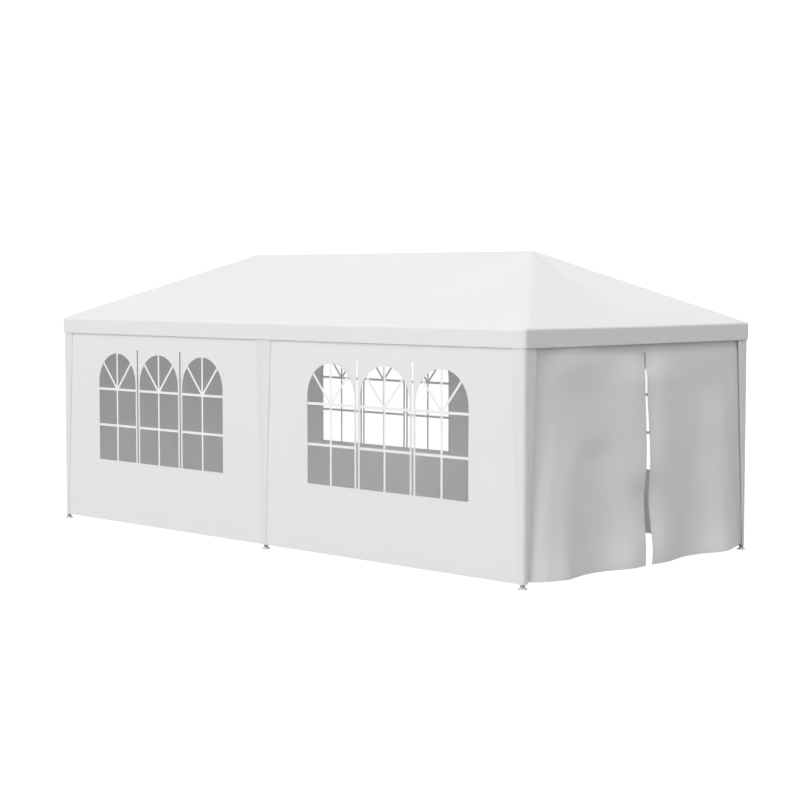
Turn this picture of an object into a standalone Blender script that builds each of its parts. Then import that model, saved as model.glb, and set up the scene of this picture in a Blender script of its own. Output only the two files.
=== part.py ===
"""Marquee tent, 6 m by 3 m: a hipped fabric roof on a tubular frame, with window walls.

Metres, +Z up. X runs along the tent: the long window sides face -Y and +Y, and the two
door ends face -X and +X. The origin is on the ground under the middle of the tent. The
half towards +Y is the half towards -Y turned half a turn about Z.
"""

import math

import bmesh
import bpy
from mathutils import Matrix, Vector

# Canopy, to the outside of its fabric
HALF_LENGTH = 3.000
HALF_WIDTH = 1.482
EAVE_Z = 1.978
VALANCE_DROP = 0.147
RIDGE_HALF_LENGTH = 1.808
RIDGE_Z = 2.5955
EAVE_ROUND = 0.016

# Sheets, and the gap between pieces that touch
FABRIC = 0.003
FILM = 0.002
GAP = 0.0003

# Tubular frame
LEG_X = 2.968
LEG_Y = 1.4545
TUBE_RADIUS = 0.019
SLEEVE_RADIUS = 0.0200
JOINT_RADIUS = 0.0205
SLEEVE_LENGTH = 0.090
TUBE_SIDES = 12
BALL_RINGS = 8

# Round foot plates
FOOT_RADIUS = 0.038
FOOT_PLATE = 0.006
FOOT_CHAMFER = 0.002
FOOT_BOSS_RADIUS = 0.0225
FOOT_HEIGHT = 0.016
FOOT_SIDES = 20

# Side walls: the hem, the top under the canopy, and the slanted edges of the panels
HEM_Z = 0.042
WALL_TOP_Z = 1.950
CORNER_ROUND = 0.025
SEAM_X_AT_HEM = 0.020
SEAM_X_AT_TOP = 0.098
RETURN_WIDTH_AT_HEM = 0.050
RETURN_WIDTH_AT_TOP = 0.152

# Windows: three arched lights with a narrow clear strip between each two
WINDOW_CENTRE_X = 1.4905
LIGHT_PITCH = 0.640
LIGHT_WIDTH = 0.578
SILL_Z = 0.623
LIGHT_TOP_Z = 1.650
STRIP_WIDTH = 0.020
STRIP_TOP_Z = 1.690
FILM_MARGIN = 0.030
ARCH_SIDES = 32

# Door curtains: where the slit starts, and how the two flaps stand off it at the hem
CURTAIN_EDGE_Y = 1.452
SLIT_TOP_Z = 1.767
SLIT_TOP_Y = -0.010
SLIT_HEM_Y = (-0.140, -0.040)
BILLOW_DEPTH = 0.045
BILLOW_ENDS_AT = 0.95
FOLDS = (
    # depth, middle across the tent, reach to each side, flatness
    (0.085, -0.075, 0.43, 4),
    (0.058, -1.06, 0.18, 2),
    (0.058, 1.00, 0.20, 2),
)
FOLD_START = 0.004
FOLD_FADE = 0.14
CURTAIN_COLUMNS = 14
CURTAIN_ROWS = 9

# Modelling: how far cutters reach past what they cut, what counts as one point or as a corner
CUTTER_REACH = 0.05
TRIM_REACH = 0.30
SAME_POINT = 0.0001
CORNER_SEGMENTS = 4
ROUNDED_OVER = math.radians(50)
SMOOTH_UNDER = math.radians(35)

# Derived: roof slopes, the layers of fabric outside the legs, and the frame's nodes
SIDE_SLOPE = math.atan2(RIDGE_Z - EAVE_Z, HALF_WIDTH)
END_SLOPE = math.atan2(RIDGE_Z - EAVE_Z, HALF_LENGTH - RIDGE_HALF_LENGTH)
WALL_OUTER_Y = LEG_Y + JOINT_RADIUS + GAP + FABRIC
CURTAIN_INNER_X = LEG_X + JOINT_RADIUS + GAP
RETURN_OUTER_X = CURTAIN_INNER_X + FABRIC + GAP + FABRIC
UNDER_ROOF = FABRIC + GAP + JOINT_RADIUS
ROOF_Z_OVER_LEGS = EAVE_Z + (HALF_WIDTH - LEG_Y) * math.tan(SIDE_SLOPE)
EAVE_NODE_Z = ROOF_Z_OVER_LEGS - UNDER_ROOF / math.cos(SIDE_SLOPE)
RIDGE_NODE_Z = RIDGE_Z - UNDER_ROOF / math.cos(SIDE_SLOPE)
RIDGE_NODE_X = RIDGE_HALF_LENGTH - UNDER_ROOF * (
    1 / math.cos(END_SLOPE) - 1 / math.cos(SIDE_SLOPE)
) / math.tan(END_SLOPE)


# Scene, collections and materials
def new_collection(name):
    collection = bpy.data.collections.new(name)
    bpy.context.scene.collection.children.link(collection)
    return collection


def new_material(name, colour, roughness, alpha=1.0):
    material = bpy.data.materials.new(name)
    material.use_nodes = True
    shader = material.node_tree.nodes["Principled BSDF"]
    shader.inputs["Base Color"].default_value = (*colour, 1.0)
    shader.inputs["Roughness"].default_value = roughness
    shader.inputs["Alpha"].default_value = alpha
    return material


for old in list(bpy.data.objects):
    bpy.data.objects.remove(old, do_unlink=True)
TENT = new_collection("marquee_tent")
TOOLS = new_collection("marquee_tent_tools")
STEEL = new_material("white_painted_steel", (0.78, 0.78, 0.77), 0.45)
FOOT_STEEL = new_material("foot_steel", (0.72, 0.72, 0.71), 0.5)
ROOF_FABRIC = new_material("roof_fabric", (0.83, 0.83, 0.82), 0.6)
WALL_FABRIC = new_material("wall_fabric", (0.80, 0.80, 0.79), 0.6)
CLEAR_FILM = new_material("clear_film", (0.85, 0.87, 0.87), 0.15, alpha=0.3)


def place(name, mesh, material, collection=None):
    """An object for the mesh, in the tent's collection unless another is named."""
    body = bpy.data.objects.new(name, mesh)
    (collection or TENT).objects.link(body)
    if not mesh.materials:
        mesh.materials.append(material)
    return body


def as_mesh(name, bm):
    """The finished mesh, smooth except at its corners."""
    mesh = bpy.data.meshes.new(name)
    bm.to_mesh(mesh)
    bm.free()
    mesh.shade_smooth()
    mesh.set_sharp_from_angle(angle=SMOOTH_UNDER)
    return mesh


def as_tool(body):
    """Marks an object that only cuts or joins another one."""
    body.hide_render = True
    body.display_type = "WIRE"
    return body


def boolean(body, operation, tool):
    """Cuts, joins or trims a body with a tool."""
    step = body.modifiers.new(operation.lower(), "BOOLEAN")
    step.operation = operation
    step.solver = "EXACT"
    step.object = tool


def rounded(body, width):
    """Rounds the sharp folds of a sheet before it gets its thickness."""
    step = body.modifiers.new("rounded", "BEVEL")
    step.width = width
    step.segments = CORNER_SEGMENTS
    step.limit_method = "ANGLE"
    step.angle_limit = ROUNDED_OVER


def thicken(body, offset=-1.0):
    """Gives an open sheet the fabric's thickness: -1 puts it behind the face, 1 in front."""
    step = body.modifiers.new("fabric", "SOLIDIFY")
    step.thickness = FABRIC
    step.offset = offset
    step.use_even_offset = True


def turned_copy(name, body):
    """The same piece on the far side of the tent, half a turn about Z."""
    copy = place(name, body.data, None)
    copy.matrix_world = Matrix.Rotation(math.pi, 4, "Z") @ body.matrix_world
    for step in body.modifiers:
        again = copy.modifiers.new(step.name, step.type)
        for key in ("width", "segments", "limit_method", "angle_limit", "thickness", "offset",
                    "use_even_offset", "operation", "solver"):
            if hasattr(step, key):
                setattr(again, key, getattr(step, key))
        if step.type == "BOOLEAN":
            tool = place(f"{name}_tool", step.object.data, None, TOOLS)
            tool.matrix_world = Matrix.Rotation(math.pi, 4, "Z") @ step.object.matrix_world
            again.object = as_tool(tool)
    return copy


# Tubes and the joints that they meet in
def cylinder_between(name, start, end, radius, collection=None):
    bm = bmesh.new()
    length = (end - start).length
    bmesh.ops.create_cone(
        bm, cap_ends=True, segments=TUBE_SIDES, radius1=radius, radius2=radius, depth=length
    )
    body = place(name, as_mesh(name, bm), STEEL, collection)
    body.location = (start + end) / 2
    body.rotation_euler = (end - start).to_track_quat("Z", "Y").to_euler()
    return body


def tube(name, start, end):
    """A tube between two joints, which starts and ends at their sleeves."""
    inset = (end - start).normalized() * (SLEEVE_LENGTH + GAP)
    return cylinder_between(name, start + inset, end - inset, TUBE_RADIUS)


def joint(name, centre, neighbours):
    """A ball with a sleeve towards each neighbour, welded into one body."""
    bm = bmesh.new()
    bmesh.ops.create_uvsphere(
        bm, u_segments=TUBE_SIDES, v_segments=BALL_RINGS, radius=JOINT_RADIUS
    )
    ball = place(name, as_mesh(name, bm), STEEL)
    ball.location = centre
    for number, neighbour in enumerate(neighbours, 1):
        mouth = centre + (neighbour - centre).normalized() * SLEEVE_LENGTH
        sleeve = cylinder_between(f"{name}_sleeve_{number}", centre, mouth, SLEEVE_RADIUS, TOOLS)
        boolean(ball, "UNION", as_tool(sleeve))


def foot(name, x, y):
    """A round plate with a boss under the leg, turned about the leg's axis."""
    plate_edge = FOOT_RADIUS - FOOT_CHAMFER
    profile = [
        (0.0, FOOT_HEIGHT),
        (FOOT_BOSS_RADIUS, FOOT_HEIGHT),
        (FOOT_BOSS_RADIUS, FOOT_PLATE),
        (plate_edge, FOOT_PLATE),
        (FOOT_RADIUS, FOOT_PLATE - FOOT_CHAMFER),
        (FOOT_RADIUS, 0.0),
        (0.0, 0.0),
    ]
    mesh = bpy.data.meshes.new(name)
    edges = [(i, i + 1) for i in range(len(profile) - 1)]
    mesh.from_pydata([(radius, 0.0, z) for radius, z in profile], edges, [])
    body = place(name, mesh, FOOT_STEEL)
    body.location = (x, y, 0.0)
    turn = body.modifiers.new("turn", "SCREW")
    turn.steps = turn.render_steps = FOOT_SIDES
    turn.use_merge_vertices = True
    turn.merge_threshold = SAME_POINT


def build_frame():
    """Six legs, the eave and ridge tubes, the rafters and the joints between them."""
    columns = {"left": -LEG_X, "middle": 0.0, "right": LEG_X}
    sides = {"front": -LEG_Y, "back": LEG_Y}
    ends = ("left", "right")
    eave = {
        (side, column): Vector((x, y, EAVE_NODE_Z))
        for side, y in sides.items() for column, x in columns.items()
    }
    ridge = {
        column: Vector((RIDGE_NODE_X * end, 0.0, RIDGE_NODE_Z))
        for column, end in (("left", -1), ("middle", 0), ("right", 1))
    }
    ground = Vector((0.0, 0.0, -1.0))

    for (side, column), node in eave.items():
        foot(f"foot_{side}_{column}", node.x, node.y)
        top = node + ground * (SLEEVE_LENGTH + GAP)
        bottom = Vector((node.x, node.y, FOOT_HEIGHT + GAP))
        cylinder_between(f"leg_{side}_{column}", bottom, top, TUBE_RADIUS)

    for side, other in (("front", "back"), ("back", "front")):
        middle = eave[side, "middle"]
        joint(f"side_joint_{side}", middle,
              [middle + ground, eave[side, "left"], eave[side, "right"], ridge["middle"]])
        tube(f"middle_rafter_{side}", middle, ridge["middle"])
        for end in ends:
            corner = eave[side, end]
            joint(f"corner_joint_{side}_{end}", corner,
                  [corner + ground, middle, eave[other, end], ridge[end]])
            tube(f"eave_tube_{side}_{end}", corner, middle)
            tube(f"hip_rafter_{side}_{end}", corner, ridge[end])

    joint("ridge_joint_middle", ridge["middle"],
          [ridge["left"], ridge["right"], eave["front", "middle"], eave["back", "middle"]])
    for end in ends:
        joint(f"ridge_joint_{end}", ridge[end],
              [ridge["middle"], eave["front", end], eave["back", end]])
        tube(f"ridge_tube_{end}", ridge[end], ridge["middle"])
        tube(f"end_eave_tube_{end}", eave["front", end], eave["back", end])


# Canopy
def roof_sheet():
    """Roof and valance as one open sheet: a box drawn up to the ridge, with no bottom."""
    bm = bmesh.new()
    box = Matrix.Translation((0, 0, EAVE_Z - VALANCE_DROP / 2)) @ Matrix.Diagonal(
        (2 * HALF_LENGTH, 2 * HALF_WIDTH, VALANCE_DROP, 1)
    )
    bmesh.ops.create_cube(bm, size=1, matrix=box)
    bottom = min(bm.faces, key=lambda face: face.calc_center_median().z)
    bmesh.ops.delete(bm, geom=[bottom], context="FACES_ONLY")
    top = max(bm.faces, key=lambda face: face.calc_center_median().z)
    drawn = bmesh.ops.extrude_face_region(bm, geom=[top])
    bmesh.ops.delete(bm, geom=[top], context="FACES_ONLY")
    for vertex in (item for item in drawn["geom"] if isinstance(item, bmesh.types.BMVert)):
        vertex.co = (math.copysign(RIDGE_HALF_LENGTH, vertex.co.x), 0, RIDGE_Z)
    bmesh.ops.remove_doubles(bm, verts=bm.verts[:], dist=SAME_POINT)
    bmesh.ops.dissolve_degenerate(bm, edges=bm.edges[:], dist=SAME_POINT)
    return as_mesh("roof_sheet", bm)


def hip_x(y, shift):
    """Where the hip lies along the tent at a distance from its middle line, moved by a shift."""
    return RIDGE_HALF_LENGTH + (HALF_LENGTH - RIDGE_HALF_LENGTH) * abs(y) / HALF_WIDTH + shift


def plan_prism(name, outline):
    """A tall prism over a plan outline, which trims the roof sheet to one panel."""
    bm = bmesh.new()
    corners = [bm.verts.new((x, y, EAVE_Z - TRIM_REACH)) for x, y in outline]
    plan = bmesh.ops.contextual_create(bm, geom=corners)
    raised = bmesh.ops.extrude_face_region(bm, geom=plan["faces"])
    for vertex in (item for item in raised["geom"] if isinstance(item, bmesh.types.BMVert)):
        vertex.co.z = RIDGE_Z + TRIM_REACH
    bmesh.ops.recalc_face_normals(bm, faces=bm.faces[:])
    return as_tool(place(name, as_mesh(name, bm), ROOF_FABRIC, TOOLS))


def roof_panel(name, sheet, outline):
    """One panel of the canopy with its strip of valance, up to the seams along hips and ridge."""
    panel = place(name, sheet, ROOF_FABRIC)
    rounded(panel, EAVE_ROUND)
    thicken(panel)
    boolean(panel, "INTERSECT", plan_prism(f"{name}_outline", outline))
    return panel


def build_canopy():
    """The canopy's four panels: two long slopes that meet at the ridge, and two hip ends."""
    sheet = roof_sheet()
    half_gap = GAP / 2
    beyond = HALF_WIDTH + TRIM_REACH
    aslant = half_gap * math.hypot(HALF_WIDTH, HALF_LENGTH - RIDGE_HALF_LENGTH) / HALF_WIDTH
    near, far = hip_x(half_gap, -aslant), hip_x(beyond, -aslant)
    slope = [(-near, -half_gap), (near, -half_gap), (far, -beyond), (-far, -beyond)]
    corner_x = hip_x(beyond, aslant)
    hip_end = [(hip_x(0, aslant), 0), (corner_x, beyond), (corner_x, -beyond)]
    turned_copy("roof_panel_back", roof_panel("roof_panel_front", sheet, slope))
    turned_copy("roof_panel_left", roof_panel("roof_panel_right", sheet, hip_end))


# Window walls
def face_outwards(bm, outwards):
    """Turns an open sheet's faces so that they agree with each other and with a direction."""
    bmesh.ops.recalc_face_normals(bm, faces=bm.faces[:])
    bm.normal_update()
    bm.faces.ensure_lookup_table()
    if bm.faces[0].normal.dot(Vector(outwards)) < 0:
        bmesh.ops.reverse_faces(bm, faces=bm.faces[:])


def light_cutter(bm, centre_x):
    """A round disc whose lower half is pulled down to the sill, as deep as it cuts."""
    radius = LIGHT_WIDTH / 2
    centre_z = LIGHT_TOP_Z - radius
    upright = Matrix.Rotation(math.pi / 2, 4, "X")
    across = Matrix.Translation((centre_x, -WALL_OUTER_Y, centre_z)) @ upright
    disc = bmesh.ops.create_cone(
        bm, cap_ends=True, segments=ARCH_SIDES, radius1=radius, radius2=radius,
        depth=2 * CUTTER_REACH, matrix=across
    )
    for vertex in disc["verts"]:
        if vertex.co.z < centre_z - SAME_POINT:
            vertex.co.z = SILL_Z


def window_cutter(name, side):
    """Three arched lights and the two strips between them, side by side."""
    bm = bmesh.new()
    centre = side * WINDOW_CENTRE_X
    for step in (-1, 0, 1):
        light_cutter(bm, centre + step * LIGHT_PITCH)
    strip_size = Matrix.Diagonal((STRIP_WIDTH, 2 * CUTTER_REACH, STRIP_TOP_Z - SILL_Z, 1))
    for step in (-0.5, 0.5):
        middle = (centre + step * LIGHT_PITCH, -WALL_OUTER_Y, (SILL_Z + STRIP_TOP_Z) / 2)
        bmesh.ops.create_cube(bm, size=1, matrix=Matrix.Translation(middle) @ strip_size)
    return as_tool(place(name, as_mesh(name, bm), WALL_FABRIC, TOOLS))


def window_wall(name, side):
    """A panel of the front, from the slanted middle seam to the corner and round it."""
    middle_gap = GAP if side < 0 else 0.0
    bm = bmesh.new()
    bmesh.ops.create_grid(
        bm, x_segments=1, y_segments=1, size=1, matrix=Matrix.Rotation(math.pi / 2, 4, "X")
    )
    for vertex in bm.verts:
        at_top = vertex.co.z > 0
        seam_x = SEAM_X_AT_TOP if at_top else SEAM_X_AT_HEM
        vertex.co.x = side * RETURN_OUTER_X if vertex.co.x * side > 0 else seam_x - middle_gap
        vertex.co.y = -WALL_OUTER_Y
        vertex.co.z = WALL_TOP_Z if at_top else HEM_Z
    at_corner = RETURN_OUTER_X - SAME_POINT
    corner = [e for e in bm.edges if all(v.co.x * side > at_corner for v in e.verts)]
    drawn = bmesh.ops.extrude_edge_only(bm, edges=corner)
    for vertex in (item for item in drawn["geom"] if isinstance(item, bmesh.types.BMVert)):
        vertex.co.y = -return_edge_y(vertex.co.z)
    face_outwards(bm, (side, -1, 0))
    wall = place(name, as_mesh(name, bm), WALL_FABRIC)
    rounded(wall, CORNER_ROUND)
    thicken(wall)
    boolean(wall, "DIFFERENCE", window_cutter(f"{name}_lights", side))
    return wall


def window_film(name, side):
    """The clear film welded behind a panel's lights."""
    half_width = LIGHT_PITCH + LIGHT_WIDTH / 2 + FILM_MARGIN
    low, high = SILL_Z - FILM_MARGIN, STRIP_TOP_Z + FILM_MARGIN
    bm = bmesh.new()
    bmesh.ops.create_cube(bm, size=1, matrix=Matrix.Diagonal((2 * half_width, FILM, high - low, 1)))
    film = place(name, as_mesh(name, bm), CLEAR_FILM)
    middle_y = WALL_OUTER_Y - FABRIC - GAP - FILM / 2
    film.matrix_world = Matrix.Translation((side * WINDOW_CENTRE_X, -middle_y, (low + high) / 2))
    return film


# Door curtains
def fade(value):
    """From 0 to 1 with a soft start and end."""
    value = min(1.0, max(0.0, value))
    return value * value * (3 - 2 * value)


def return_edge_y(z):
    """Where the window wall's return ends on the end face, at a height; it is wider at the top."""
    height = (z - HEM_Z) / (WALL_TOP_Z - HEM_Z)
    width = RETURN_WIDTH_AT_HEM + (RETURN_WIDTH_AT_TOP - RETURN_WIDTH_AT_HEM) * height
    return WALL_OUTER_Y - width


def billow(y, z):
    """How far the curtain stands out from the frame: most at the hem, in three soft folds."""
    height = (z - HEM_Z) / (WALL_TOP_Z - HEM_Z)
    folds = BILLOW_DEPTH + sum(
        depth * math.exp(-abs((y - middle) / reach) ** flatness)
        for depth, middle, reach, flatness in FOLDS
    )
    inside = fade((return_edge_y(z) - FOLD_START - abs(y)) / FOLD_FADE)
    return folds * inside * (1 - fade(height / BILLOW_ENDS_AT))


def door_curtain(name, side):
    """Half of the end wall: a sheet from the corner leg to the slit that opens below its top.

    The last column lies flat under the window wall's return, and the others share the rest.
    """
    bm = bmesh.new()
    bmesh.ops.create_grid(
        bm, x_segments=CURTAIN_COLUMNS, y_segments=CURTAIN_ROWS, size=0.5,
        matrix=Matrix.Translation((0.5, 0.5, 0))
    )
    hem_y = SLIT_HEM_Y[0] if side < 0 else SLIT_HEM_Y[1]
    for vertex in bm.verts:
        column = round(vertex.co.x * CURTAIN_COLUMNS)
        z = HEM_Z + (WALL_TOP_Z - HEM_Z) * vertex.co.y
        opening = max(0.0, (SLIT_TOP_Z - z) / (SLIT_TOP_Z - HEM_Z))
        slit_y = SLIT_TOP_Y + (hem_y - SLIT_TOP_Y) * opening + (GAP if side > 0 else 0.0)
        folds_end_y = side * (return_edge_y(z) - FOLD_START)
        y = slit_y + (folds_end_y - slit_y) * column / (CURTAIN_COLUMNS - 1)
        if column == CURTAIN_COLUMNS:
            y = side * CURTAIN_EDGE_Y
        vertex.co = (CURTAIN_INNER_X + billow(y, z), y, z)
    face_outwards(bm, (1, 0, 0))
    curtain = place(name, as_mesh(name, bm), WALL_FABRIC)
    thicken(curtain, offset=1.0)
    return curtain


build_frame()
build_canopy()
for near, far, sign in (("right", "left", 1), ("left", "right", -1)):
    turned_copy(f"window_wall_back_{far}", window_wall(f"window_wall_front_{near}", sign))
    turned_copy(f"window_film_back_{far}", window_film(f"window_film_front_{near}", sign))
for near, far, sign in (("front", "back", -1), ("back", "front", 1)):
    turned_copy(f"door_curtain_left_{far}", door_curtain(f"door_curtain_right_{near}", sign))
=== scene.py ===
import math

import bmesh
import bpy
import numpy as np
from mathutils import Matrix, Vector


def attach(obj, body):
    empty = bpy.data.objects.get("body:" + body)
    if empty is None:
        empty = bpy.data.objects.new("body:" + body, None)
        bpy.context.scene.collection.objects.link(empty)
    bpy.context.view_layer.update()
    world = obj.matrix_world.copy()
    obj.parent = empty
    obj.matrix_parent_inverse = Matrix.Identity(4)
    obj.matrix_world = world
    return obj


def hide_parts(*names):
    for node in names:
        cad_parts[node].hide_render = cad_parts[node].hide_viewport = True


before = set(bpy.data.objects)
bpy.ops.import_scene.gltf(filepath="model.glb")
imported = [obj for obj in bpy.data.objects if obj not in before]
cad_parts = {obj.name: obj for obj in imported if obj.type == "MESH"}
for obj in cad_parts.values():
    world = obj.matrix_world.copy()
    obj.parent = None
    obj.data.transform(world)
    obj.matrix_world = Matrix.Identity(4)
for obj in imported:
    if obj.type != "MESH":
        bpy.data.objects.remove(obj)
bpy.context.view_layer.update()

bpy.ops.object.select_all(action="DESELECT")


# The view: a long lens at a little over two metres, off the corner between the window side
# and the right door end, looking slightly down.
CAMERA_PLACE = (11.8375, -11.7033, 2.3388)
CAMERA_HEADING, CAMERA_DIP = 44.8159, 3.7905
CAMERA_LENS, CAMERA_SENSOR = 80.85, 36

bpy.ops.object.camera_add(
    location=CAMERA_PLACE,
    rotation=(math.radians(90 - CAMERA_DIP), 0, math.radians(CAMERA_HEADING)),
)
camera = bpy.context.object
camera.data.sensor_width = CAMERA_SENSOR
camera.data.lens = CAMERA_LENS
bpy.context.scene.camera = camera
bpy.context.scene.view_settings.view_transform = "Standard"


# The studio: a white floor and a white room, which look pure white and light the tent softly,
# most from the front, and three soft boxes: in front of it, on its left and overhead.
STUDIO_WHITE = 1.12
# the room's light, and how it changes towards its front, right and top
ROOM_LIGHT, FRONT_GAIN, RIGHT_GAIN, TOP_LOSS = 0.82, 1.15, 0.29, 0.22
# the floor's light around the tent and under it, where it falls off to the right
FLOOR_LIGHT, FLOOR_LIGHT_INSIDE, FLOOR_FADE_TO_RIGHT = 0.243, 0.20, 0.045
SHADE_HALF_LENGTH, SHADE_HALF_WIDTH, SHADE_EDGE = 2.95, 1.45, 12
SOFTBOXES = (
    # name, the side it shines from, its power and its width in degrees
    ("front_softbox", (-0.10, -0.98, 0.16), 0.70, 40),
    ("left_softbox", (-0.98, 0.20, -0.15), 1.2, 25),
    ("overhead_softbox", (0.0, 0.65, 0.76), 1.53, 50),
)


class Wire:
    """A value on its way between nodes. Sums with it add Math nodes to the same tree."""

    def __init__(self, socket):
        self.socket = socket

    def other(self, name):
        """Another output of the node that this value comes from."""
        return Wire(self.socket.node.outputs[name])

    def math(self, operation, *terms):
        made = self.socket.id_data.nodes.new("ShaderNodeMath")
        made.operation = operation
        for entry, term in zip(made.inputs, terms or (self,)):
            feed(entry, term)
        return Wire(made.outputs[0])

    def __add__(self, term):
        return self.math("ADD", self, term)

    def __sub__(self, term):
        return self.math("SUBTRACT", self, term)

    def __rsub__(self, term):
        return self.math("SUBTRACT", term, self)

    def __mul__(self, term):
        return self.math("MULTIPLY", self, term)

    def __truediv__(self, term):
        return self.math("DIVIDE", self, term)

    def __abs__(self):
        return self.math("ABSOLUTE", self)

    def sine(self):
        return self.math("SINE", self)

    def at_most(self, term):
        return self.math("MINIMUM", self, term)

    def at_least(self, term):
        return self.math("MAXIMUM", self, term)

    def clamped(self):
        return self.at_least(0.0).at_most(1.0)

    __radd__ = __add__
    __rmul__ = __mul__


def feed(entry, value):
    """Links a wire to a node's input, or sets the input to a plain value."""
    if isinstance(value, Wire):
        entry.id_data.links.new(value.socket, entry)
    else:
        entry.default_value = value


class Finish:
    """The node tree of a material or of the world, with one call for any node."""

    def __init__(self, owner):
        owner.use_nodes = True
        self.owner = owner
        self.tree = owner.node_tree
        self.tree.nodes.clear()

    def node(self, kind, settings=None, values=None, output=0):
        made = self.tree.nodes.new("ShaderNode" + kind)
        for key, value in (settings or {}).items():
            setattr(made, key, value)
        for key, value in (values or {}).items():
            feed(made.inputs[key], value)
        return Wire(made.outputs[output]) if made.outputs else made


room = Finish(bpy.data.worlds.new("studio"))
bpy.context.scene.world = room.owner
towards = room.node("SeparateXYZ", values={"Vector": room.node("TexCoord", output="Generated")})
glow = ROOM_LIGHT - FRONT_GAIN * towards.other("Y") - TOP_LOSS * towards.other("Z")
glow = glow + RIGHT_GAIN * towards.other("X")
seen = room.node("LightPath", output="Is Camera Ray")
strength = glow.at_least(0.0) * (1 - seen) + STUDIO_WHITE * seen
white = room.node("Background", values={"Color": (1, 1, 1, 1), "Strength": strength})
room.node("OutputWorld", values={"Surface": white})

bpy.ops.mesh.primitive_plane_add(size=120)
floor = bpy.context.object
floor.name = "studio_floor"
paint = Finish(bpy.data.materials.new("white_studio_floor"))
spot = paint.node("SeparateXYZ", values={"Vector": paint.node("TexCoord", output="Object")})
past_end = (abs(spot.other("X")) - SHADE_HALF_LENGTH) * SHADE_EDGE
past_side = (abs(spot.other("Y")) - SHADE_HALF_WIDTH) * SHADE_EDGE
outside = past_end.at_least(past_side).clamped()
seen = paint.node("LightPath", output="Is Camera Ray")
inside = FLOOR_LIGHT_INSIDE - FLOOR_FADE_TO_RIGHT * spot.other("X")
lit = inside + (FLOOR_LIGHT - inside) * outside
strength = lit * (1 - seen) + STUDIO_WHITE * seen
shine = paint.node("Emission", values={"Strength": strength})
paint.node("OutputMaterial", values={"Surface": shine})
floor.data.materials.append(paint.owner)

for name, source, power, softness in SOFTBOXES:
    bpy.ops.object.light_add(type="SUN")
    lamp = bpy.context.object
    lamp.name = name
    lamp.rotation_euler = Vector(source).to_track_quat("Z", "Y").to_euler()
    lamp.data.energy = power
    lamp.data.angle = math.radians(softness)


# The cover: roof and valance in one, four panels of coated fabric sewn along the hips and the
# ridge, with the valance sewn on at the eaves and hemmed. It is stretched over the rafters,
# and its tension draws a shallow valley down the middle of each end.
HALF_LENGTH, HALF_WIDTH = 3.006, 1.483
EAVE_Z, RIDGE_Z, RIDGE_HALF_LENGTH = 1.978, 2.5955, 1.808
RISE = RIDGE_Z - EAVE_Z
END_RUN = HALF_LENGTH - RIDGE_HALF_LENGTH
VALANCE_DROP, VALANCE_LEAN = 0.146, 0.002
VALANCE_Z = EAVE_Z - VALANCE_DROP
EAVE_ROUND, CORNER_ROUND, HIP_ROUND, RIDGE_ROUND = 0.019, 0.030, 0.060, 0.005
RAFTER_LIFT, RAFTER_REACH = 0.005, 0.25
LIFT_FULL_SHARE, LIFT_END_SHARE = 0.12, 0.94
VALLEY_DEPTH, VALLEY_ROUND, END_SAG = 0.033, 0.008, 0.003
CREASE_HEIGHT, CREASE_REACH = 0.006, 0.22
HIP_SLANT = 0.78
FABRIC_THICKNESS, SEAM_REACH = 0.0012, 0.00002
SHARP_EDGE = math.radians(40)
FABRIC_WHITE = (0.86, 0.86, 0.85)
GLOW_WHITE = (0.93, 0.93, 0.91, 1)
TAPE_PITCH, STITCH_PITCH = 0.0044, 0.005
STITCH_HALF_WIDTH, PUCKER_HALF_WIDTH, HEM_EDGE = 0.0011, 0.007, 0.003
WEAVE_DEPTH, GRAIN_DEPTH, WAVE_DEPTH = 0.000012, 0.00002, 0.004
STITCH_DEPTH, PUCKER_DEPTH, HEM_DEPTH, WELD_DEPTH = 0.0004, 0.0003, 0.0005, 0.0004


def eased(value):
    """From 0 to 1, with a soft start and end."""
    value = np.clip(value, 0, 1)
    return value * value * (3 - 2 * value)


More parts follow.
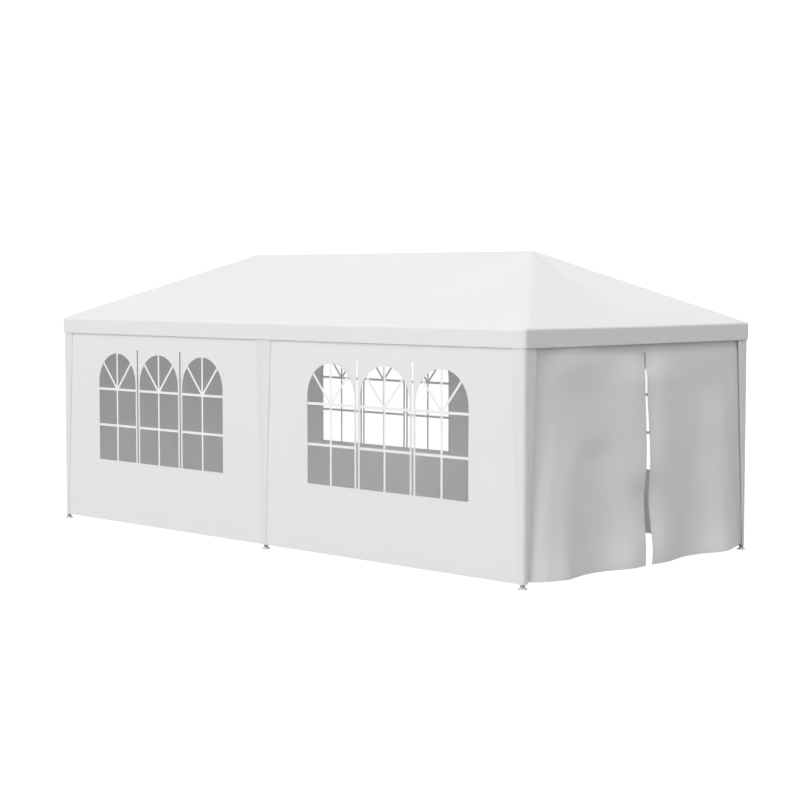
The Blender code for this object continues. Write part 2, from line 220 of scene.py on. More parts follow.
def fabric_finish(name, through, edges, welds=None):
    """Coated woven fabric, white and a little translucent, on a UV map in metres.

    The weave shows as fine ribs, the coating as a faint mottle, and the stitching as rows of
    short dents at set distances from the sheet's sides and hem, which its map Seam holds.
    """
    made = Finish(bpy.data.materials.new(name))
    cut = made.node("SeparateXYZ", values={
        "Vector": made.node("UVMap", {"uv_map": "UVMap"}),
    })
    along, down = cut.other("X"), cut.other("Y")
    seam = made.node("SeparateXYZ", values={
        "Vector": made.node("UVMap", {"uv_map": "Seam"}),
    })
    place = made.node("TexCoord", output="Object")
    mottle = made.node("TexNoise", values={
        "Vector": place, "Scale": 2.3, "Detail": 4.0, "Roughness": 0.6,
    })
    grain = made.node("TexNoise", values={"Vector": place, "Scale": 160.0, "Detail": 2.0})
    soft_waves = made.node("TexNoise", values={"Vector": place, "Scale": 1.6, "Detail": 1.5})

    tape = math.tau / TAPE_PITCH
    weave = (along * tape).sine() * (down * tape).sine()
    height = weave * WEAVE_DEPTH + grain * GRAIN_DEPTH + soft_waves * WAVE_DEPTH
    marks = 0.0
    for distance, pitch_line in ((seam.other("X"), down), (seam.other("Y"), along)):
        dash = ((pitch_line * (math.tau / STITCH_PITCH)).sine() * 3 + 1.6).clamped()
        for row in edges:
            stitch = (1 - abs(distance - row) / STITCH_HALF_WIDTH).clamped()
            pucker = (1 - abs(distance - row) / PUCKER_HALF_WIDTH).clamped()
            height = height - stitch * dash * STITCH_DEPTH - pucker * pucker * PUCKER_DEPTH
            marks = stitch * dash + marks
    hem = ((edges[-1] + HEM_EDGE - seam.other("Y")) / FABRIC_THICKNESS).clamped()
    height = height + hem * HEM_DEPTH
    if welds:
        weld = welds(made)
        height = height + weld * WELD_DEPTH
        marks = weld * 0.35 + marks

    low, high = 0.985 * np.array(FABRIC_WHITE), 1.012 * np.array(FABRIC_WHITE)
    tint = made.node("Mix", {"data_type": "RGBA"}, {
        "Factor": mottle, 6: (*low, 1), 7: (*high, 1),
    }, output=2)
    tint = made.node("Mix", {"data_type": "RGBA"}, {
        "Factor": (marks * 0.10).clamped(), 6: tint, 7: (*(0.4 * low), 1),
    }, output=2)
    relief = made.node("Bump", values={"Strength": 1.0, "Distance": 1.0, "Height": height})
    face = made.node("BsdfPrincipled", values={
        "Base Color": tint, "Roughness": 0.50 + mottle * 0.16, "Normal": relief,
        "Specular IOR Level": 0.3,
    })
    glow = made.node("BsdfTranslucent", values={"Color": GLOW_WHITE})
    made.node("OutputMaterial", values={
        "Surface": made.node("MixShader", values={0: through, 1: face, 2: glow}),
    })
    return made.owner


def sewn_sheet(name, patterns, outwards, finish):
    """One sheet of fabric from patterns of points that meet at seams.

    A pattern holds rows of points, with a flat place and the distances to its seams for each.
    """
    bm = bmesh.new()
    flat = bm.loops.layers.uv.new("UVMap")
    seam = bm.loops.layers.uv.new("Seam")
    for points, flats, seams in patterns:
        rows, columns = points.shape[:2]
        knots = [[bm.verts.new(point) for point in row] for row in points]
        for i in range(rows - 1):
            for j in range(columns - 1):
                corners = ((i, j), (i, j + 1), (i + 1, j + 1), (i + 1, j))
                face = bm.faces.new([knots[r][c] for r, c in corners])
                for loop, corner in zip(face.loops, corners):
                    loop[flat].uv = flats[corner]
                    loop[seam].uv = seams[corner]
    bmesh.ops.remove_doubles(bm, verts=bm.verts[:], dist=SEAM_REACH)
    bmesh.ops.recalc_face_normals(bm, faces=bm.faces[:])
    bm.normal_update()
    bm.faces.ensure_lookup_table()
    if bm.faces[0].normal.dot(Vector(outwards)) < 0:
        bmesh.ops.reverse_faces(bm, faces=bm.faces[:])
    mesh = bpy.data.meshes.new(name)
    bm.to_mesh(mesh)
    bm.free()
    piece = bpy.data.objects.new(name, mesh)
    bpy.context.scene.collection.objects.link(piece)
    mesh.materials.append(finish)
    thickness = piece.modifiers.new("thickness", "SOLIDIFY")
    thickness.thickness = FABRIC_THICKNESS
    thickness.offset = -1
    thickness.use_even_offset = True
    apply_all(piece)
    return piece


def apply_all(piece):
    """Applies a piece's modifiers and shades it smooth except at its sharp edges."""
    bpy.ops.object.select_all(action="DESELECT")
    piece.select_set(True)
    bpy.context.view_layer.objects.active = piece
    for step in list(piece.modifiers):
        bpy.ops.object.modifier_apply(modifier=step.name)
    bpy.ops.object.shade_smooth_by_angle(angle=SHARP_EDGE)
    piece.select_set(False)


def turned_copy(piece, name):
    """The same piece at the far side of the tent, half a turn about the upright axis."""
    copy = piece.copy()
    copy.data = piece.data.copy()
    copy.name = copy.data.name = name
    copy.data.transform(Matrix.Rotation(math.pi, 4, "Z"))
    bpy.context.scene.collection.objects.link(copy)
    return copy


def cover_rows():
    """The cover's rows from the ridge to the hem: share of the slope, height, corner radius.

    They lie closest at the ridge and the eave. The corners' radius grows to the hips' just
    above the eave, and shrinks again where the panels narrow to the ridge.
    """
    start = EAVE_ROUND / math.hypot(HALF_WIDTH, RISE)
    near_ridge = [1 - gap / HALF_WIDTH for gap in (0, 0.008, 0.018, 0.034, 0.06)]
    near_eave = [0.075, 0.055, 0.038, 0.026, start]
    between = np.linspace(near_ridge[-1], near_eave[0], 27)[1:-1]
    rows = []
    for share in (*near_ridge, *between, *near_eave):
        radius = CORNER_ROUND + (HIP_ROUND - CORNER_ROUND) * eased((share - start) / 0.08)
        rows.append((share, EAVE_Z + share * RISE, min(radius, 0.5 * HALF_WIDTH * (1 - share))))
    for q in (0.14, 0.28, 0.42, 0.57, 0.71, 0.85, 1.0):
        # a curve from the slope down to the valance, with its middle point on the sharp eave
        height = (1 - q) ** 2 * (EAVE_Z + start * RISE) + 2 * q * (1 - q) * EAVE_Z
        rows.append((start * (1 - q) ** 2, height + q * q * (EAVE_Z - EAVE_ROUND), CORNER_ROUND))
    rows += [(0.0, z, CORNER_ROUND) for z in np.linspace(EAVE_Z - EAVE_ROUND, VALANCE_Z, 9)[1:]]
    return rows


def cover_shape(x, y, share, row_z, from_hip, on_end):
    """The cover's height at a point of a row: raised over the hip rafters and soft at the ridge.

    An end panel sinks to its middle line. A side panel has a crease on each side, from the
    middle of its eave to the ridge's end.
    """
    half_y = HALF_WIDTH * (1 - share)
    lift = RAFTER_LIFT * np.exp(-((from_hip / RAFTER_REACH) ** 2))
    lift = lift * eased(share / LIFT_FULL_SHARE)
    lift = lift * (1 - 0.9 * eased((share - LIFT_END_SHARE) / 0.06))
    rounded = (np.hypot(y, RIDGE_ROUND) - abs(y)) * RISE / HALF_WIDTH * eased(share * 20)
    z = row_z + lift - rounded
    if on_end:
        valley = VALLEY_DEPTH * half_y * math.sin(min(share / 0.30, 1.0) * math.pi / 2)
        sag = (valley + END_SAG * eased(half_y / 0.2)) * eased((row_z - VALANCE_Z) / 0.12)
        return z - sag * np.clip(1 - np.hypot(y, VALLEY_ROUND) / (half_y + 0.001), 0, 1)
    run = math.hypot(HALF_WIDTH, RIDGE_HALF_LENGTH)
    fold = (abs(x) * HALF_WIDTH + abs(y) * RIDGE_HALF_LENGTH) / run
    fold = fold - HALF_WIDTH * RIDGE_HALF_LENGTH / run
    crease = CREASE_HEIGHT * np.exp(-np.hypot(fold, 0.02) / CREASE_REACH)
    return z + crease * share * (1 - share) * 4


def cover_panel(turn):
    """One panel's pattern, from hip to hip and ridge to hem: 0 to 3 are front to left.

    Its columns lie closest where it bends round the hips. The distance to a hip's seam is
    measured square to it, and shortens on the slope, where the hips run aslant.
    """
    on_end = turn % 2 == 1
    columns = 36 if on_end else 72
    points, flats, seams = [], [], []
    before, down = None, 0.0
    for share, row_z, radius in cover_rows():
        half_x, half_y = HALF_LENGTH - END_RUN * share, HALF_WIDTH * (1 - share)
        width, out = (half_y, half_x) if on_end else (half_x, half_y)
        if before:
            down += math.hypot(out - before[0], row_z - before[1])
        before = (out, row_z)
        from_hip = np.append(radius * np.linspace(0, 1, 8), radius + 0.25 * min(0.1, width / 4))
        middle = np.linspace(-(width - from_hip[-1]), width - from_hip[-1], columns + 1)
        bent = width - from_hip[:-1]
        across = np.concatenate([-bent, middle, bent[::-1]])
        hip = width - abs(across)
        bend = np.clip(1 - hip / max(radius, 1e-6), 0, 1) * math.pi / 4
        round_hip = np.sign(across) * (width - radius + radius * np.sin(bend))
        along = np.where(hip < radius, round_hip, across)
        loose = VALANCE_LEAN * np.clip((EAVE_Z - row_z) / VALANCE_DROP, 0, 1) * eased(hip / 0.4)
        outward = out - radius + radius * np.cos(bend) + loose
        x, y = (outward, along) if on_end else (along, -outward)
        if turn >= 2:
            x, y = -x, -y
        z = cover_shape(x, y, share, row_z, hip, on_end)
        points.append(np.stack([x, y, z], axis=1))
        flats.append(np.stack([across + 10 * turn, np.full_like(across, down)], axis=1))
        to_hip = hip * (HIP_SLANT if share > 0 else 1.0)
        to_hem = abs(z - VALANCE_Z) if share == 0 else np.full_like(across, 0.5)
        seams.append(np.stack([to_hip, to_hem], axis=1))
    return np.array(points), np.array(flats), np.array(seams)


roof_fabric = fabric_finish("coated_roof_fabric", 0.21, edges=(0.007, 0.024))
cover = sewn_sheet("roof_cover", [cover_panel(turn) for turn in range(4)], (0, 0, 1), roof_fabric)
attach(cover, "root")
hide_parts("roof_panel_front", "roof_panel_back", "roof_panel_left", "roof_panel_right")


# The window walls: a flat panel of the same fabric in each bay, tied to the eave tube behind
# the valance and hemmed all round. Three arched lights and two narrow strips are cut out of
# it, and the clear film is welded on behind them.
WALL_FACE_Y = 1.4703
HEM_Z, WALL_TOP_Z = 0.0375, 1.950
WALL_FROM_X, WALL_TO_X = 0.017, 2.951
WINDOW_X, LIGHT_PITCH, LIGHT_WIDTH = 1.4905, 0.640, 0.578
SILL_Z, LIGHT_TOP_Z = 0.623, 1.650
STRIP_WIDTH, STRIP_TOP_Z = 0.020, 1.690
WELD_MIDDLE, WELD_HALF_WIDTH, WELD_RIB_PITCH = 0.006, 0.0045, 0.003
CUTTER_DEPTH = 0.1
WALL_WAVE, TAUT_Z, TAUT_HALF_HEIGHT, TAUT_HALF_WIDTH = 0.0012, 1.15, 0.60, 0.97
WALL_TUCK, TUCK_FROM_Z, TUCK_TO_Z = 0.002, 1.72, 1.90
TUCK_FROM_X, TUCK_TO_X = 0.03, 2.93


def window_weld(made):
    """1 on the pressed rim round each light, read from the distance to its arched outline."""
    place = made.node("SeparateXYZ", values={"Vector": made.node("TexCoord", output="Object")})
    across = abs(abs(place.other("X")) - WINDOW_X)
    across = across.at_most(abs(across - LIGHT_PITCH))
    spring = LIGHT_TOP_Z - LIGHT_WIDTH / 2
    above = (place.other("Z") - spring).at_least(0.0)
    arch = (across * across + above * above).math("SQRT")
    gap = (arch - LIGHT_WIDTH / 2).at_least(SILL_Z - place.other("Z"))
    rim = (1 - abs(gap - WELD_MIDDLE) / WELD_HALF_WIDTH).clamped()
    aslant = place.other("X") + place.other("Z")
    return rim * ((aslant * (math.tau / WELD_RIB_PITCH)).sine() * 0.3 + 0.7)


def window_wall(name, side):
    """A wall's sheet with its lights cut out: taut behind the film and a little wavy elsewhere.

    Behind the valance it lies a touch further in, except by the legs and at its top edge.
    """
    across = np.linspace(WALL_FROM_X, WALL_TO_X, 85) * side
    up = np.linspace(WALL_TOP_Z, HEM_Z, 56)
    x, z = np.meshgrid(across, up)
    above_or_below = eased((abs(z - TAUT_Z) - TAUT_HALF_HEIGHT) / 0.10)
    beside = eased((abs(abs(x) - WINDOW_X) - TAUT_HALF_WIDTH) / 0.12)
    off_film = np.maximum(above_or_below, beside)
    wave = WALL_WAVE * off_film * np.sin(2.1 * x + 0.7) * np.sin(3.3 * z + 1.9 * x)
    tucked = WALL_TUCK * eased((z - TUCK_FROM_Z) / 0.10) * (1 - eased((z - TUCK_TO_Z) / 0.04))
    tucked = tucked * eased((abs(x) - TUCK_FROM_X) / 0.1) * eased((TUCK_TO_X - abs(x)) / 0.1)
    points = np.stack([x, -WALL_FACE_Y - wave + tucked, z], axis=2)
    flats = np.stack([abs(x), WALL_TOP_Z - z], axis=2)
    to_side = np.minimum(abs(x) - WALL_FROM_X, WALL_TO_X - abs(x))
    seams = np.stack([to_side, z - HEM_Z], axis=2)
    wall = sewn_sheet(name, [(points, flats, seams)], (0, -1, 0), wall_fabric)

    bpy.ops.object.select_all(action="DESELECT")
    radius = LIGHT_WIDTH / 2
    cutters = []
    for step in (-1, 0, 1):
        bpy.ops.mesh.primitive_cylinder_add(
            vertices=96, radius=radius, depth=CUTTER_DEPTH, rotation=(math.pi / 2, 0, 0),
            location=(side * WINDOW_X + step * LIGHT_PITCH, -WALL_FACE_Y, LIGHT_TOP_Z - radius),
        )
        light = bpy.context.object
        bpy.ops.object.transform_apply()
        for vertex in light.data.vertices:
            if vertex.co.z < LIGHT_TOP_Z - radius - 0.0001:
                vertex.co.z = SILL_Z
        cutters.append(light)
    for step in (-0.5, 0.5):
        bpy.ops.mesh.primitive_cube_add(
            size=1, scale=(STRIP_WIDTH, CUTTER_DEPTH, STRIP_TOP_Z - SILL_Z),
            location=(side * WINDOW_X + step * LIGHT_PITCH, -WALL_FACE_Y,
                      (STRIP_TOP_Z + SILL_Z) / 2),
        )
        bpy.ops.object.transform_apply()
        cutters.append(bpy.context.object)
    for cutter in cutters:
        opening = wall.modifiers.new("light", "BOOLEAN")
        opening.operation = "DIFFERENCE"
        opening.solver = "EXACT"
        opening.object = cutter
    apply_all(wall)
    for cutter in cutters:
        bpy.data.objects.remove(cutter, do_unlink=True)
    return wall


def declare_wall(wall, node):
    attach(wall, "root")
    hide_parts(node)


wall_fabric = fabric_finish("coated_wall_fabric", 0.18, edges=(0.018, 0.030), welds=window_weld)
for near, far, side in (("right", "left", 1), ("left", "right", -1)):
    wall = window_wall(f"wall_panel_front_{near}", side)
    back = turned_copy(wall, f"wall_panel_back_{far}")
    declare_wall(wall, f"window_wall_front_{near}")
    declare_wall(back, f"window_wall_back_{far}")


# The window film and its bars: clear flexible film behind each panel's lights, with white
# glazing bars printed on its outer face. They cross each light and fan out in its arch.
BAR_WIDTH, RAY_WIDTH = 0.022, 0.021
BAR_Z = (0.960, 1.306)
BAR_OVERLAP, RAY_OVERLAP = 0.008, 0.045
RAY_ANGLE = math.atan2(0.25, 0.212)
RAY_LENGTH = LIGHT_WIDTH / 2 + RAY_OVERLAP
FILM_THICKNESS, FILM_GAP = 0.0004, 0.0007
FILM_FACE_Y = WALL_FACE_Y - FABRIC_THICKNESS - FILM_GAP
FILM_MARGIN, FILM_CORNER = 0.030, 0.02
FILM_LOW_Z, FILM_HIGH_Z = SILL_Z - FILM_MARGIN, STRIP_TOP_Z + FILM_MARGIN
FILM_WIDTH = 2 * (LIGHT_PITCH + LIGHT_WIDTH / 2 + FILM_MARGIN)
PRINT_THICKNESS, PRINT_GAP = 0.0004, 0.0001


def clear_film_finish():
    made = Finish(bpy.data.materials.new("clear_window_film"))
    place = made.node("TexCoord", output="Object")
    ripple = made.node("TexNoise", values={"Vector": place, "Scale": 3.5, "Detail": 1.5})
    haze = made.node("TexNoise", values={"Vector": place, "Scale": 14.0, "Detail": 3.0})
    relief = made.node("Bump", values={"Strength": 1.0, "Distance": 1.0, "Height": ripple * 0.01})
    film = made.node("BsdfPrincipled", values={
        "Base Color": (0.93, 0.94, 0.94, 1), "Roughness": 0.08 + haze * 0.08, "Normal": relief,
        "Alpha": 0.05 + haze * 0.03, "Specular IOR Level": 0.3,
    })
    made.node("OutputMaterial", values={"Surface": film})
    return made.owner


def printed_bar_finish():
    made = Finish(bpy.data.materials.new("white_printed_bars"))
    place = made.node("TexCoord", output="Object")
    mottle = made.node("TexNoise", values={"Vector": place, "Scale": 30.0, "Detail": 3.0})
    tint = made.node("Mix", {"data_type": "RGBA"}, {
        "Factor": mottle, 6: (0.80, 0.80, 0.79, 1), 7: (0.83, 0.83, 0.82, 1),
    }, output=2)
    relief = made.node("Bump", values={
        "Strength": 1.0, "Distance": 1.0, "Height": mottle * 0.0001,
    })
    made.node("OutputMaterial", values={"Surface": made.node("BsdfPrincipled", values={
        "Base Color": tint, "Roughness": 0.42 + mottle * 0.12, "Normal": relief,
    })})
    return made.owner


def light_bars(centre_x):
    """The bars of one light: a plate cut along every bar's edges, with the panes taken out."""
    low, high = SILL_Z - BAR_OVERLAP, LIGHT_TOP_Z + BAR_OVERLAP
    half = LIGHT_WIDTH / 2 + BAR_OVERLAP
    bpy.ops.mesh.primitive_plane_add(
        size=1, rotation=(math.pi / 2, 0, 0), location=(centre_x, -FILM_FACE_Y, (low + high) / 2)
    )
    plate = bpy.context.object
    plate.scale = (2 * half, high - low, 1)
    bpy.ops.object.transform_apply()
    hub = Vector((centre_x, -FILM_FACE_Y, BAR_Z[1]))
    rays = [Vector((s * math.cos(RAY_ANGLE), 0, math.sin(RAY_ANGLE))) for s in (-1, 1)]
    edges = [((centre_x + s * RAY_WIDTH / 2, 0, 0), (1, 0, 0)) for s in (-1, 1)]
    edges += [((0, 0, z + s * BAR_WIDTH / 2), (0, 0, 1)) for z in BAR_Z for s in (-1, 1)]
    for ray in rays:
        square = Vector((-ray.z, 0, ray.x))
        edges += [(hub + square * s * RAY_WIDTH / 2, square) for s in (-1, 1)]
        edges.append((hub + ray * RAY_LENGTH, ray))
    bpy.ops.object.mode_set(mode="EDIT")
    for point, across in edges:
        bpy.ops.mesh.select_all(action="SELECT")
        bpy.ops.mesh.bisect(plane_co=point, plane_no=across)
    bpy.ops.object.mode_set(mode="OBJECT")
    bm = bmesh.new()
    bm.from_mesh(plate.data)
    panes = []
    for face in bm.faces:
        spot = face.calc_center_median() - hub
        on_bar = abs(spot.x) < RAY_WIDTH / 2
        on_bar |= any(abs(spot.z + hub.z - z) < BAR_WIDTH / 2 for z in BAR_Z)
        for ray in rays:
            reach = spot.dot(ray)
            aside = (spot - ray * reach).length
            on_bar |= 0 < reach < RAY_LENGTH and aside < RAY_WIDTH / 2 and spot.z > 0
        if not on_bar:
            panes.append(face)
    bmesh.ops.delete(bm, geom=panes, context="FACES")
    bmesh.ops.dissolve_limit(
        bm, angle_limit=0.01, verts=bm.verts[:], edges=bm.edges[:], use_dissolve_boundaries=False
    )
    bm.to_mesh(plate.data)
    bm.free()
    return plate


def window_bars(name, side):
    lights = [light_bars(side * WINDOW_X + step * LIGHT_PITCH) for step in (-1, 0, 1)]
    bpy.ops.object.select_all(action="DESELECT")
    for light in lights:
        light.select_set(True)
    bpy.context.view_layer.objects.active = lights[0]
    bpy.ops.object.join()
    bars = bpy.context.object
    bars.name = bars.data.name = name
    bars.data.transform(Matrix.Translation((0, -PRINT_GAP, 0)))
    print_layer = bars.modifiers.new("print", "SOLIDIFY")
    print_layer.thickness = PRINT_THICKNESS
    print_layer.offset = 1
    bars.data.materials.append(printed_bars)
    apply_all(bars)
    return bars


def window_film(name, side):
    """A sheet of film with rounded corners, that reaches a little past the lights all round."""
    bpy.ops.object.select_all(action="DESELECT")
    bpy.ops.mesh.primitive_plane_add(
        size=1, rotation=(math.pi / 2, 0, 0),
        location=(side * WINDOW_X, -FILM_FACE_Y, (FILM_LOW_Z + FILM_HIGH_Z) / 2),
    )
    film = bpy.context.object
    film.name = film.data.name = name
    film.scale = (FILM_WIDTH, FILM_HIGH_Z - FILM_LOW_Z, 1)
    bpy.ops.object.transform_apply()
    bpy.ops.object.mode_set(mode="EDIT")
    bpy.ops.mesh.select_all(action="SELECT")
    bpy.ops.mesh.bevel(offset=FILM_CORNER, segments=6, affect="VERTICES")
    bpy.ops.object.mode_set(mode="OBJECT")
    thickness = film.modifiers.new("thickness", "SOLIDIFY")
    thickness.thickness = FILM_THICKNESS
    thickness.offset = -1
    film.data.materials.append(clear_film)
    apply_all(film)
    return film


clear_film = clear_film_finish()
printed_bars = printed_bar_finish()
for near, far, side in (("right", "left", 1), ("left", "right", -1)):
    film = window_film(f"film_front_{near}", side)
    bars = window_bars(f"window_bars_front_{near}", side)
    for front, kind in ((film, "film"), (bars, "window_bars")):
        back = turned_copy(front, f"{kind}_back_{far}")
        for piece, place in ((front, f"front_{near}"), (back, f"back_{far}")):
            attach(piece, "root")
            if kind == "film":
                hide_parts(f"window_film_{place}")


# The leg covers: strips of the wall fabric that hang from the eaves over each leg and close
# the gap between two walls. They taper from top to hem, and those at the corners wrap round.
COVER_FACE_X, COVER_FACE_Y = 2.9951, 1.4783
MIDDLE_HALF_WIDTH = (0.020, 0.098)
FRONT_COVER_WIDTH = (0.052, 0.148)
END_COVER_WIDTH = (0.050, 0.152)
CORNER_RADIUS = 0.032
CORNER_X, CORNER_Y = COVER_FACE_X - CORNER_RADIUS, COVER_FACE_Y - CORNER_RADIUS
EDGE_TUCK, TOP_TUCK, TOP_TUCK_FROM_Z, TOP_TUCK_TO_Z = 0.0045, 0.0045, 1.79, 1.86


def cover_height(z):
    """How far up a leg cover a height is, from 0 at the hem to 1 at the top."""
    return (z - HEM_Z) / (WALL_TOP_Z - HEM_Z)


def width_at(widths, z):
    """A leg cover's width at a height, from its widths at the hem and at the top."""
    return widths[0] + (widths[1] - widths[0]) * cover_height(z)


def middle_cover(name):
    """The flat strip over a middle leg, with both its edges drawn in to the walls."""
    up = np.linspace(WALL_TOP_Z, HEM_Z, 49)
    share, z = np.meshgrid(np.linspace(-1, 1, 9), up)
    half = width_at(MIDDLE_HALF_WIDTH, z)
    x = share * half
    tucked = EDGE_TUCK * eased((abs(share) - 0.4) / 0.6)
    points = np.stack([x, tucked - COVER_FACE_Y, z], axis=2)
    flats = np.stack([x + 5, WALL_TOP_Z - z], axis=2)
    seams = np.stack([half - abs(x), z - HEM_Z], axis=2)
    return sewn_sheet(name, [(points, flats, seams)], (0, -1, 0), cover_fabric)


def corner_cover(name, side):
    """The strip round a corner leg: along the front, round the corner and along the end.

    Each row's points hold x, y and the way run along the row. The front edge is drawn in to
    the wall, and the end face lies a touch further in just behind the valance.
    """
    up = np.linspace(WALL_TOP_Z, HEM_Z, 49)
    flat_share = np.linspace(0, 1, 7)
    turn = np.linspace(0, math.pi / 2, 9)[1:-1]
    points, flats, seams = [], [], []
    arc = CORNER_RADIUS * math.pi / 2
    for z in up:
        front = width_at(FRONT_COVER_WIDTH, z) - CORNER_RADIUS
        end = width_at(END_COVER_WIDTH, z) - CORNER_RADIUS
        tucked = TOP_TUCK * eased((z - TOP_TUCK_FROM_Z) / 0.03)
        tucked = tucked * (1 - eased((z - TOP_TUCK_TO_Z) / 0.05))
        row = [(CORNER_X - front * (1 - s), COVER_FACE_Y - EDGE_TUCK * (1 - eased(s / 0.6)),
                front * s) for s in flat_share]
        row += [(CORNER_X + CORNER_RADIUS * math.sin(a), CORNER_Y + CORNER_RADIUS * math.cos(a),
                 front + arc * a / (math.pi / 2)) for a in turn]
        row += [(COVER_FACE_X - tucked * eased(s / 0.3), CORNER_Y - end * s,
                 front + arc + end * s) for s in flat_share]
        points.append([(side * x, -y, z) for x, y, _ in row])
        flats.append([(run - front, WALL_TOP_Z - z) for _, _, run in row])
        seams.append([(min(run, front + arc + end - run), z - HEM_Z) for _, _, run in row])
    pattern = (np.array(points), np.array(flats), np.array(seams))
    return sewn_sheet(name, [pattern], (0, -1, 0), cover_fabric)


cover_fabric = fabric_finish("coated_cover_fabric", 0.22, edges=(0.006,))
middle = middle_cover("leg_cover_front_middle")
covers = [(middle, "front_middle", "side_joint_front"),
          (turned_copy(middle, "leg_cover_back_middle"), "back_middle", "side_joint_back")]
for near, far, side in (("right", "left", 1), ("left", "right", -1)):
    corner = corner_cover(f"leg_cover_front_{near}", side)
    covers.append((corner, f"front_{near}", f"corner_joint_front_{near}"))
    covers.append((turned_copy(corner, f"leg_cover_back_{far}"), f"back_{far}",
                   f"corner_joint_back_{far}"))
for piece, place, joint in covers:
    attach(piece, "root")
    if place.endswith("middle"):
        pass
    else:
        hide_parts(f"window_wall_{place}")


# The door curtains: one sheet across each end, tied to the end eave tube behind the valance,
# with a slit from the hem to just under the valance. Below, the wind stands it off the frame
# in soft folds, and the slit gapes. At the left end it hangs shut, but for the hem.
CURTAIN_FACE_X, CURTAIN_INSET = 2.9918, 0.0013
CURTAIN_EDGE_Y = 1.430
CURTAIN_HEM_Z, SLIT_TOP_Z, SLIT_TIP = 0.046, 1.767, 0.007
HEM_LIFT, HEM_LIFT_FROM_Y, HEM_LIFT_BELOW_Z = 0.009, 0.85, 0.5
EDGE_GAP_FRONT, EDGE_GAP_BACK = 0.014, 0.007
REACH_AT_HEM, REACH_GAIN_FRONT, REACH_GAIN_BACK = 0.145, 0.175, 0.26
SLACK_LOW, SLACK_HIGH, SLACK_TUCKED, SLACK_END_Z = 0.006, 0.010, 0.020, 1.90
FRONT_TUCK_Y, VALANCE_TUCK_Z = -1.35, 1.70
BACK_TUCK_Y, BACK_TUCK_SHARE = 1.05, 0.25
CLOSED_FROM_Z, CLOSED_GAP = 0.25, 0.002
SLIT_EDGES = (
    # height, then where the front and the back half end
    (0.046, -0.117, -0.032),
    (0.140, -0.104, -0.011),
    (0.219, -0.091, -0.003),
    (0.386, -0.073, 0.009),
    (0.482, -0.062, 0.007),
    (0.679, -0.059, -0.003),
    (0.778, -0.071, -0.017),
    (0.859, -0.059, -0.012),
    (1.052, -0.043, 0.003),
    (1.245, -0.033, 0.007),
    (1.342, -0.033, 0.002),
    (1.488, -0.031, 0.002),
    (1.584, -0.018, 0.011),
    (1.631, 0.004, 0.017),
    (1.687, 0.017, 0.035),
    (1.759, 0.043, 0.055),
    (1.767, 0.049, 0.049),
)
FOLDS = (
    # depth, middle across the end, reach to each side, flatness, how fast it dies out upwards
    (0.050, -0.11, 2.53, 8, 0.9),
    (0.070, 0.00, 0.39, 4, 1.5),
    (0.033, -1.10, 0.13, 2, 3.0),
    (0.044, 1.03, 0.17, 2, 1.4),
)
SWELLS = (
    # depth, middle across the end and upwards, reach to each side, above and below
    (0.050, 0.04, 1.50, 0.38, 0.18, 0.90),
    (0.020, -0.98, 0.85, 0.15, 0.17, 0.90),
    (-0.039, -0.07, 0.59, 0.24, 0.15, 0.27),
    (-0.045, 0.12, 0.36, 0.18, 0.25, 0.21),
    (0.048, -0.38, 0.04, 0.19, 0.20, 0.26),
    (0.032, 0.13, 0.28, 0.11, 0.34, 0.23),
    (0.050, 0.95, 0.01, 0.25, 0.20, 0.26),
    (0.033, -1.09, 0.01, 0.27, 0.21, 0.26),
    (0.014, -0.86, 1.66, 0.35, 0.51, 0.14),
    (-0.018, -0.60, 0.93, 0.26, 0.13, 0.90),
    (-0.010, 0.91, 1.45, 0.35, 0.12, 0.22),
    (-0.017, 0.71, 0.83, 0.18, 0.26, 0.90),
    (-0.024, 0.04, 1.38, 0.10, 0.48, 0.45),
    (-0.011, -1.17, 0.70, 0.21, 0.44, 0.47),
)


def cover_edge_y(z):
    """Where the corner covers end on the end face, at a height."""
    return COVER_FACE_Y - width_at(END_COVER_WIDTH, z)


def curtain_x(y, z):
    """The curtain's outer face: slack behind the valance and the covers, blown out below.

    It comes off the corner covers' inner edges over a reach that widens upwards. Its slack is
    deepest behind the valance and by the front corner, and less so by the back one.
    """
    fading = 1 - eased(cover_height(z) / 0.95)
    blown = sum(
        depth * np.exp(-abs((y - middle) / reach) ** flatness) * fading ** speed
        for depth, middle, reach, flatness, speed in FOLDS
    )
    for depth, middle, level, reach, above, below in SWELLS:
        rise = (z - level) / np.where(z > level, above, below)
        blown = blown + depth * np.exp(-((y - middle) / reach) ** 2 - rise ** 2)
    edge = cover_edge_y(z) - np.where(y < 0, EDGE_GAP_FRONT, EDGE_GAP_BACK)
    reach_gain = np.where(y < 0, REACH_GAIN_FRONT, REACH_GAIN_BACK)
    blown = blown * eased((edge - abs(y)) / (REACH_AT_HEM + reach_gain * cover_height(z)))
    by_front = 1 - eased((y - FRONT_TUCK_Y) / 0.5)
    by_back = BACK_TUCK_SHARE * eased((y - BACK_TUCK_Y) / 0.2) * eased(z / 1.4)
    deeper = np.maximum(by_front, eased((z - VALANCE_TUCK_Z) / 0.10))
    deeper = np.maximum(deeper, by_back)
    shallow = SLACK_LOW + (SLACK_HIGH - SLACK_LOW) * eased(z / 1.2)
    slack = (shallow + SLACK_TUCKED * deeper) * (1 - eased((z - SLACK_END_Z) / 0.05))
    return CURTAIN_FACE_X + blown - CURTAIN_INSET - slack * (1 - eased(blown / 0.03))


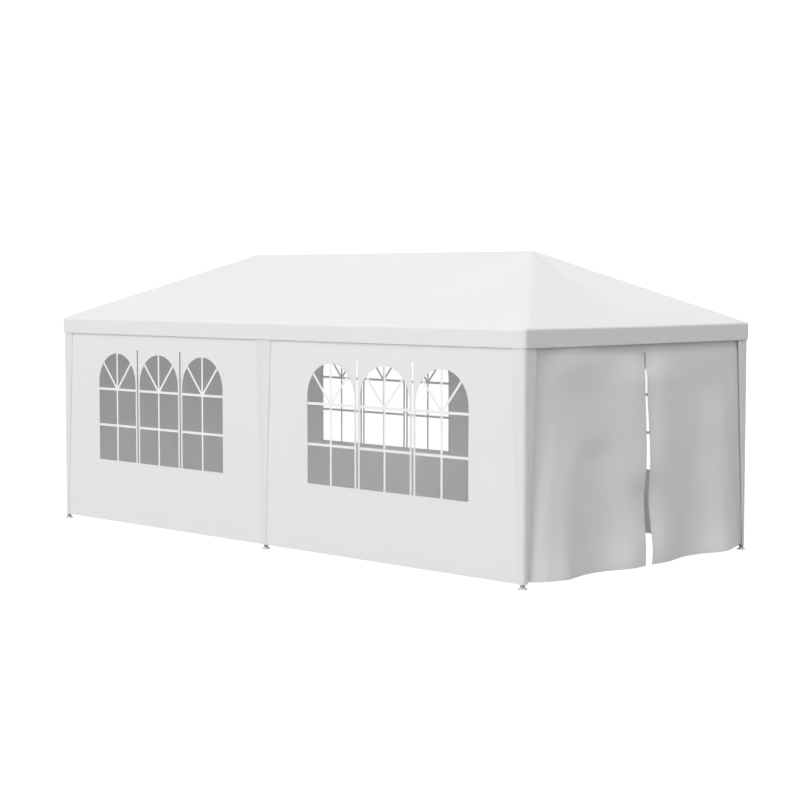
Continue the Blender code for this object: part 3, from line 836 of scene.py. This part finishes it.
def curtain_half(side, slit_edges):
    """The pattern from the slit to one side of the end, with its hem raised at the back."""
    up = np.concatenate([
        np.linspace(WALL_TOP_Z, SLIT_TOP_Z, 9), [SLIT_TOP_Z - SLIT_TIP],
        np.linspace(SLIT_TOP_Z, CURTAIN_HEM_Z, 76)[1:],
    ])
    knots = np.array(slit_edges)
    share, z = np.meshgrid(np.linspace(0, 1, 65), up)
    slit = np.interp(z, knots[:, 0], knots[:, 1 if side < 0 else 2])
    y = slit + (side * CURTAIN_EDGE_Y - slit) * share
    at_back = eased((y - HEM_LIFT_FROM_Y) / 0.35)
    z = z + HEM_LIFT * at_back * eased((HEM_LIFT_BELOW_Z - z) / 0.45)
    x = curtain_x(y, z)
    run = np.cumsum(np.hypot(np.diff(x, axis=1, prepend=x[:, :1]),
                             np.diff(y, axis=1, prepend=y[:, :1])), axis=1)
    flats = np.stack([side * run, WALL_TOP_Z - z], axis=2)
    to_slit = np.where(z < SLIT_TOP_Z - 0.001, run, 0.5)
    seams = np.stack([np.minimum(to_slit, run[:, -1:] - run), z - z[-1:]], axis=2)
    return np.stack([x, y, z], axis=2), flats, seams


curtain_fabric = fabric_finish("coated_curtain_fabric", 0.22, edges=(0.016,))
closed_edges = []
for z, front, back in SLIT_EDGES:
    middle = (front + back) / 2
    half = (back - front) / 2 if z < CLOSED_FROM_Z else min((back - front) / 2, CLOSED_GAP / 2)
    closed_edges.append((z, middle - half, middle + half))
for end, edges, area in (("right", SLIT_EDGES, 5.46), ("left", closed_edges, 5.52)):
    halves = [curtain_half(side, edges) for side in (-1, 1)]
    piece = sewn_sheet(f"door_curtain_{end}", halves, (1, 0, 0), curtain_fabric)
    if end == "left":
        piece.data.transform(Matrix.Rotation(math.pi, 4, "Z"))
    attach(piece, "root")
    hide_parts(f"door_curtain_{end}_front", f"door_curtain_{end}_back")


# The frame: steel tubes, joints and round feet, powder-coated white. The legs' dark grey is
# painted shade from the fabric over them. The coat has a fine orange-peel skin, and the feet are
# scuffed by the ground.
SCUFF_GREY = (0.42, 0.41, 0.39, 1)
PEEL_DEPTH, SCUFF_DEPTH = 0.00003, 0.0001


def powder_coat(name, colour, scuffs):
    made = Finish(bpy.data.materials.new(name))
    place = made.node("TexCoord", output="Object")
    peel = made.node("TexNoise", values={"Vector": place, "Scale": 700.0, "Detail": 2.0})
    cloud = made.node("TexNoise", values={"Vector": place, "Scale": 9.0, "Detail": 4.0})
    scratch = made.node("TexNoise", values={"Vector": place, "Scale": 60.0, "Detail": 6.0})
    worn = ((scratch - 0.60) * 9).clamped() * scuffs
    base = np.array(colour)
    tint = made.node("Mix", {"data_type": "RGBA"}, {
        "Factor": cloud, 6: (*(0.96 * base), 1), 7: (*(1.03 * base), 1),
    }, output=2)
    tint = made.node("Mix", {"data_type": "RGBA"}, {
        "Factor": worn, 6: tint, 7: SCUFF_GREY,
    }, output=2)
    relief = made.node("Bump", values={
        "Strength": 1.0, "Distance": 1.0, "Height": peel * PEEL_DEPTH - worn * SCUFF_DEPTH,
    })
    made.node("OutputMaterial", values={"Surface": made.node("BsdfPrincipled", values={
        "Base Color": tint, "Roughness": 0.34 + cloud * 0.14 + worn * 0.2, "Normal": relief,
        "Coat Weight": 0.15,
    })})
    return made.owner


coats = {
    "foot": powder_coat("scuffed_foot_coat", (0.64, 0.64, 0.64), 0.35),
    # the legs are white-coated like the tubes: their dark grey is painted shade from the fabric
    # over them
    "leg": powder_coat("leg_painted_shade_coat", (0.30, 0.30, 0.30), 0.15),
    "joint": powder_coat("joint_coat", (0.76, 0.76, 0.75), 0.10),
    "tube": powder_coat("tube_coat", (0.80, 0.80, 0.79), 0.06),
}
for name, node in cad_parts.items():
    if node.hide_render:
        continue
    kind = next((kind for kind in coats if kind in name), "tube")
    for holder in node.material_slots:
        holder.material = coats[kind]
